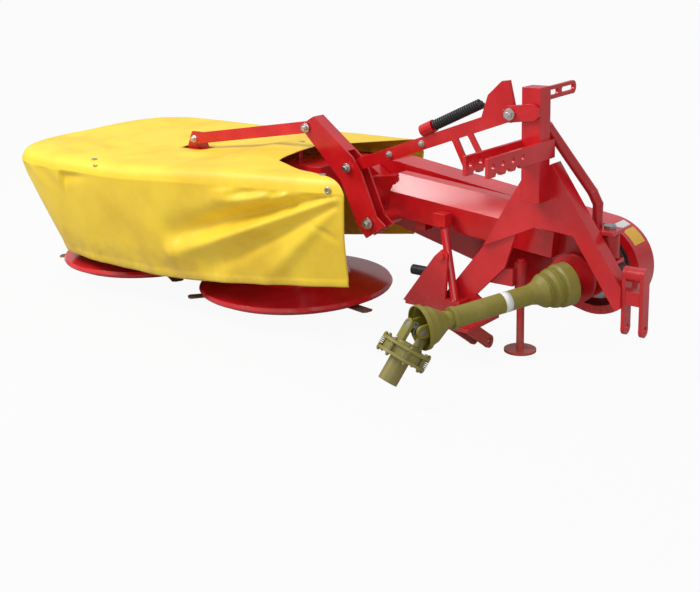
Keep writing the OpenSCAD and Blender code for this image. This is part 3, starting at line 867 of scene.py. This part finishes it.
@dataclass
class DriveShaftTrim:
    """Bolts, springs, ribs and the blank band on the drive shaft and its clutch."""

    maker: Maker
    rear: Vector = field(default_factory=lambda: at(190, -90, 290))
    yaw: float = -26.0
    droop: float = 6.0
    clutch_droop: float = 49.0
    length: float = 0.525
    bolt_circle: float = 0.0765
    bolts: int = 8
    bolt_size: float = 0.0065
    head_reach: float = 0.105
    nut_reach: float = 0.060
    coils: int = 4
    coil_reach: float = 0.0735
    coil_pitch: float = 0.006
    # inner radius, width and thickness
    coil: Spot = (0.0045, 0.0032, 0.0035)
    # reach from the rear joint and inner radius of each rib, then its width and thickness
    ribs: tuple[Pair, ...] = ((0.012, 0.063), (0.022, 0.063), (0.050, 0.053), (0.059, 0.053))
    rib: Pair = (0.004, 0.0035)
    band_reach: float = 0.205
    # inner radius, width and thickness
    band: Spot = (0.0330, 0.026, 0.0006)

    def way(self, droop: float) -> Vector:
        """Direction towards the tractor at a droop in degrees."""
        yaw = Matrix.Rotation(math.radians(self.yaw), 3, "Z")
        return yaw @ Matrix.Rotation(math.radians(droop), 3, "X") @ Vector((0, -1, 0))

    def clutch(self) -> None:
        """Adds the clutch's bolts, each with its spring and nut."""
        way = self.way(self.droop + self.clutch_droop)
        joint = self.rear + self.way(self.droop) * self.length
        frame = turned(way)
        heads, springs = bmesh.new(), bmesh.new()
        for i in range(self.bolts):
            a = math.tau * (i + 0.5) / self.bolts
            foot = joint + frame @ Vector((math.cos(a), math.sin(a), 0)) * self.bolt_circle
            Bolt(foot + way * self.head_reach, way, self.bolt_size).add(heads)
            Bolt(foot + way * self.nut_reach, -way, self.bolt_size).add(heads)
            for turn in range(self.coils):
                spot = foot + way * (self.coil_reach + self.coil_pitch * turn)
                Ring(spot, way, *self.coil).add(springs)
        self.maker.piece("clutch_bolts", heads, Finish.OLIVE_STEEL, "clutch", soft=False)
        bmesh.ops.recalc_face_normals(springs, faces=springs.faces)
        self.maker.piece("clutch_springs", springs, Finish.OLIVE_STEEL, "clutch")

    def guards(self) -> None:
        """Adds the ribs of the rear bell and the blank band on the tube."""
        way = self.way(self.droop)
        ribs, band = bmesh.new(), bmesh.new()
        for reach, radius in self.ribs:
            Ring(self.rear + way * reach, way, radius, *self.rib).add(ribs)
        Ring(self.rear + way * self.band_reach, way, *self.band).add(band)
        for mesh in (ribs, band):
            bmesh.ops.recalc_face_normals(mesh, faces=mesh.faces)
        self.maker.piece("bell_ribs", ribs, Finish.OLIVE, "shaft_rear")
        self.maker.piece("blank_band", band, Finish.WHITE, "shaft_rear")

    def build(self) -> None:
        """Adds every trim piece of the shaft."""
        self.clutch()
        self.guards()


@dataclass
class Stickers:
    """Blank stickers on the rim of the belt guard."""

    maker: Maker
    centre: Vector = field(default_factory=lambda: at(190, 225, 290))
    radius: float = 0.1652
    thickness: float = 0.0006
    steps: int = 12
    # first angle and last angle up from the right in degrees, width, finish
    rows: tuple[tuple[float, float, float, Finish], ...] = (
        (34, 56, 0.078, Finish.STICKER),
        (60, 70, 0.078, Finish.WHITE),
    )

    def build(self) -> None:
        """Lays every sticker on the rim."""
        for number, (first, last, width, finish) in enumerate(self.rows, start=1):
            mesh = bmesh.new()
            way = Vector((math.cos(math.radians(first)), 0, math.sin(math.radians(first))))
            along = Vector((0, width / 2, 0))
            inner = self.centre + way * self.radius
            outer = self.centre + way * (self.radius + self.thickness)
            corners = [inner - along, outer - along, outer + along, inner + along]
            verts, edges = add_loop(mesh, corners)
            made = bmesh.ops.spin(
                mesh,
                geom=[*verts, *edges],
                cent=self.centre,
                axis=Vector((0, -1, 0)),
                angle=math.radians(last - first),
                steps=self.steps,
            )
            far = [item for item in made["geom_last"] if isinstance(item, bmesh.types.BMEdge)]
            for loop in (edges, far):
                bmesh.ops.contextual_create(mesh, geom=loop)
            bmesh.ops.recalc_face_normals(mesh, faces=mesh.faces)
            self.maker.piece(f"guard_sticker_{number}", mesh, finish, "boom", soft=False)


@dataclass
class ReliefSpring:
    """The black coil spring along the upper link."""

    maker: Maker
    start: Vector = field(default_factory=lambda: at(-282, -104, 782))
    end: Vector = field(default_factory=lambda: at(-90.75, -104, 871.13))
    coil_radius: float = 0.0145
    wire_radius: float = 0.0042
    wire_sides: int = 8
    turns: int = 22
    steps_a_turn: int = 16
    rod_share: float = 0.62
    rod_sides: int = 20

    def build(self) -> None:
        """Winds the coil by a screw spin and puts a rod through it."""
        length = (self.end - self.start).length
        way = (self.end - self.start).normalized()
        steps = self.turns * self.steps_a_turn
        span = length - 2 * self.wire_radius
        frame = Matrix.Translation(self.start) @ turned(way)
        foot = Matrix.Translation((self.coil_radius, 0, self.wire_radius))
        section = frame @ foot @ Matrix.Rotation(math.pi / 2, 4, "X")
        mesh = bmesh.new()
        made = bmesh.ops.create_circle(
            mesh, segments=self.wire_sides, radius=self.wire_radius, matrix=section
        )
        loop = list(mesh.edges)
        bmesh.ops.spin(
            mesh,
            geom=[*made["verts"], *loop],
            cent=self.start,
            axis=way,
            dvec=way * (span / steps),
            angle=math.tau * self.turns,
            steps=steps,
        )
        add_prism(mesh, self.start, way, self.coil_radius * self.rod_share, length, self.rod_sides)
        bmesh.ops.recalc_face_normals(mesh, faces=mesh.faces)
        piece = self.maker.piece("relief_spring", mesh, Finish.BLACK, "top_rod")
        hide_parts("link_spring")


@dataclass
class Machine:
    """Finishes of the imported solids."""

    painter: Painter
    nodes: dict[str, bpy.types.Object]
    special: dict[str, Finish] = field(
        default_factory=lambda: {
            "rear_brace": Finish.DARK_RED,
            "carrier": Finish.DARK_RED,
            "stand_sleeve": Finish.DARK_RED,
            "drum_inner": Finish.DISC_RED,
            "drum_outer": Finish.DISC_RED,
            "skid_inner": Finish.DISH,
            "skid_outer": Finish.DISH,
            "knives_inner": Finish.KNIFE,
            "knives_outer": Finish.KNIFE,
            "kingpin": Finish.STEEL,
            "rear_yoke": Finish.STEEL,
            "rear_cross": Finish.STEEL,
            "front_cross": Finish.STEEL,
            "drive_pulley": Finish.STEEL,
            "latch_grip": Finish.GRIP,
            "link_spring": Finish.BLACK,
            "shaft_tube_outer": Finish.OLIVE,
            "shaft_tube_inner": Finish.OLIVE,
            "shaft_clutch": Finish.OLIVE_STEEL,
        }
    )

    def dress(self) -> None:
        """Gives every solid its finish."""
        for name, node in self.nodes.items():
            finish = self.special.get(name, Finish.RED)
            self.painter.coat(node, finish)
            LOG.info("solid %s in %s", name, finish.name)


@dataclass(frozen=True)
class Lamp:
    """A soft square lamp: its place, side and power."""

    name: str
    spot: Spot
    size: float
    power: float


@dataclass
class Studio:
    """Floor, light and camera."""

    spot: Vector = field(default_factory=lambda: Vector((1.839, -3.191, 1.38)) + SHIFT)
    azimuth: float = 39.0
    down: float = 14.0
    roll: float = -1.6
    lens: float = 57.09
    sensor: float = 36
    shift_y: float = -0.104
    picture: tuple[int, int] = (700, 592)
    samples: int = 160
    floor_size: float = 30
    floor_colour: Colour = (0.42, 0.41, 0.40)
    even: float = 0.94
    sky_colour: Colour = (0.94, 0.96, 1.0)
    white: Colour = (1.0, 1.0, 1.0)
    # height on the sky and its strength, at the horizon and overhead
    horizon: Pair = (-0.1, 0.22)
    zenith: Pair = (0.9, 1.0)
    aim: Spot = (0, 0, 0.4)
    lamps: tuple[Lamp, ...] = (
        Lamp("key", (-2.6, -3.0, 4.6), 2.2, 260),
        Lamp("fill", (3.6, -3.4, 2.2), 3.0, 45),
    )

    def floor(self) -> None:
        """Lays the pale floor."""
        mesh = bmesh.new()
        bmesh.ops.create_grid(mesh, x_segments=1, y_segments=1, size=self.floor_size)
        data = bpy.data.meshes.new("floor")
        mesh.to_mesh(data)
        mesh.free()
        made = bpy.data.objects.new("floor", data)
        bpy.context.scene.collection.objects.link(made)
        data.materials.append(self.paper())

    def paper(self) -> bpy.types.Material:
        """Makes the floor's white: nearly even to the camera, matt to everything else."""
        shader = Shader("white_floor")
        shader.finish(Base_Color=self.floor_colour, Roughness=0.9)
        seen = shader.node("ShaderNodeLightPath", {}, {}, "Is Camera Ray")
        glow = shader.node("ShaderNodeEmission", {}, {"Color": self.white, "Strength": 1.0})
        matt = Value(shader, shader.surface.outputs["BSDF"])
        both = shader.node("ShaderNodeMixShader", {}, {0: seen * self.even, 1: matt, 2: glow})
        shader.feed(shader.tree.nodes["Material Output"].inputs["Surface"], both)
        return shader.material

    def hang(self, lamp: Lamp) -> None:
        """Hangs one lamp and turns it to the object."""
        data = bpy.data.lights.new(lamp.name, "AREA")
        data.size = lamp.size
        data.energy = lamp.power
        made = bpy.data.objects.new(lamp.name, data)
        made.location = lamp.spot
        way = Vector(self.aim) - Vector(lamp.spot)
        made.rotation_euler = way.to_track_quat("-Z", "Y").to_euler()
        bpy.context.scene.collection.objects.link(made)

    def light(self) -> None:
        """Lights the object softly from the sky and from two sides."""
        world = bpy.data.worlds.new("sky")
        world.use_nodes = True
        self.paint_sky(world.node_tree)
        bpy.context.scene.world = world
        for lamp in self.lamps:
            self.hang(lamp)

    def paint_sky(self, tree: bpy.types.NodeTree) -> None:
        """Makes the sky bright overhead and dull at the horizon, and plain white to the camera."""
        place = tree.nodes.new("ShaderNodeTexCoord")
        split = tree.nodes.new("ShaderNodeSeparateXYZ")
        ramp = tree.nodes.new("ShaderNodeMapRange")
        for end, (height, strength) in (("Min", self.horizon), ("Max", self.zenith)):
            ramp.inputs[f"From {end}"].default_value = height
            ramp.inputs[f"To {end}"].default_value = strength
        sky = tree.nodes["Background"]
        sky.inputs["Color"].default_value = (*self.sky_colour, 1.0)
        white = tree.nodes.new("ShaderNodeBackground")
        white.inputs["Color"].default_value = (*self.white, 1.0)
        path = tree.nodes.new("ShaderNodeLightPath")
        both = tree.nodes.new("ShaderNodeMixShader")
        tree.links.new(place.outputs["Generated"], split.inputs[0])
        tree.links.new(split.outputs["Z"], ramp.inputs["Value"])
        tree.links.new(ramp.outputs["Result"], sky.inputs["Strength"])
        tree.links.new(path.outputs["Is Camera Ray"], both.inputs[0])
        tree.links.new(sky.outputs[0], both.inputs[1])
        tree.links.new(white.outputs[0], both.inputs[2])
        tree.links.new(both.outputs[0], tree.nodes["World Output"].inputs["Surface"])

    def camera(self) -> None:
        """Sets up the camera as in the photograph."""
        a, p = math.radians(self.azimuth), math.radians(self.down)
        way = Vector((-math.sin(a) * math.cos(p), math.cos(a) * math.cos(p), -math.sin(p)))
        data = bpy.data.cameras.new("camera")
        data.sensor_width = self.sensor
        data.lens = self.lens
        data.shift_y = self.shift_y
        made = bpy.data.objects.new("camera", data)
        twist = Euler((0, 0, math.radians(self.roll))).to_quaternion()
        made.rotation_mode = "QUATERNION"
        made.rotation_quaternion = way.to_track_quat("-Z", "Y") @ twist
        made.location = self.spot
        scene = bpy.context.scene
        scene.collection.objects.link(made)
        scene.camera = made

    def build(self) -> None:
        """Sets the stage and the render."""
        scene = bpy.context.scene
        scene.render.engine = "CYCLES"
        scene.cycles.samples = self.samples
        scene.cycles.use_denoising = True
        scene.render.resolution_x, scene.render.resolution_y = self.picture
        scene.view_settings.view_transform = "Standard"
        self.floor()
        self.light()
        self.camera()


def clear() -> None:
    """Empties Blender's opening scene."""
    for made in list(bpy.data.objects):
        bpy.data.objects.remove(made, do_unlink=True)


def main() -> None:
    """Builds the whole scene."""
    logging.basicConfig(level=logging.INFO)
    clear()
    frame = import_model()
    painter = Painter()
    maker = Maker(painter)
    Machine(painter, frame["nodes"]).dress()
    CoverSheet(maker).build()
    Fasteners(maker).build()
    DriveShaftTrim(maker).build()
    ReliefSpring(maker).build()
    Stickers(maker).build()
    Studio().build()


if __name__ == "__main__":
    main()
